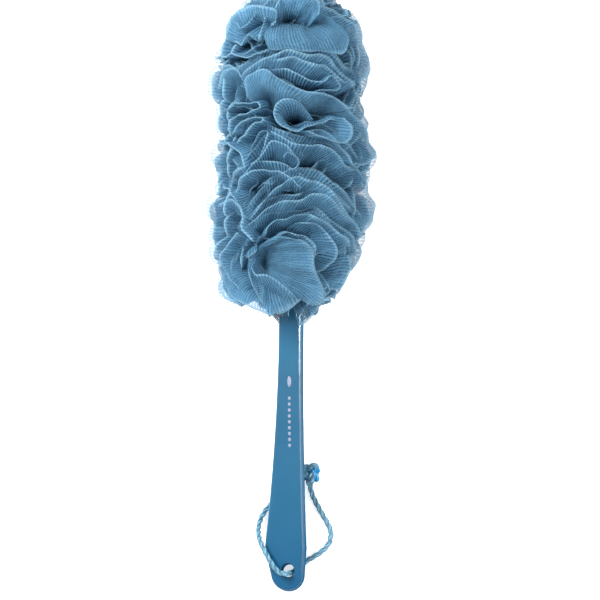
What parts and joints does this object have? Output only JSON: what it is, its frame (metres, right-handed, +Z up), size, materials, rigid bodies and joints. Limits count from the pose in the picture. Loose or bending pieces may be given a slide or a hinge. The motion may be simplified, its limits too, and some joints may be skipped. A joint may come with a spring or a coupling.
{
  "type": "loofah back scrubber",
  "caption": "Long-handled bath scrubber: a bowed plastic handle whose stem carries bunches of gathered nylon netting, with a twisted hanging cord through its tail.",
  "frame": {"origin": "middle of the scrubber's box on the surface it lies on, without the hanging cord", "axes": "+Z up out of the handle's face, +Y from the tail to the head, +X to the right seen from above"},
  "size_m": [0.118, 0.4283, 0.1153],
  "materials": {
    "handle_plastic": "glossy moulded blue plastic",
    "netting": "fine ribbed nylon netting, translucent at its edges",
    "tie_nylon": "thin braided nylon cord",
    "cord": "three-strand twisted polypropylene cord"
  },
  "bodies": {
    "brush": {"handle": "handle_plastic", "mesh_pouf_1": "netting", "mesh_pouf_2": "netting", "mesh_pouf_3": "netting", "mesh_pouf_4": "netting", "mesh_pouf_5": "netting", "mesh_pouf_6": "netting", "tie_cord_1": "tie_nylon", "tie_cord_2": "tie_nylon", "tie_cord_3": "tie_nylon", "tie_cord_4": "tie_nylon", "tie_cord_5": "tie_nylon", "tie_cord_6": "tie_nylon"},
    "hang_loop": {"hang_cord": "cord", "hang_knot": "cord"}
  },
  "joints": [
    {"name": "loop_swing", "type": "hinge", "parent": "brush", "child": "hang_loop", "pos_m": [-0.0022, -0.2012, 0.008], "axis": [0, 0, 1], "range_deg": [-3, 105]}
  ]
}
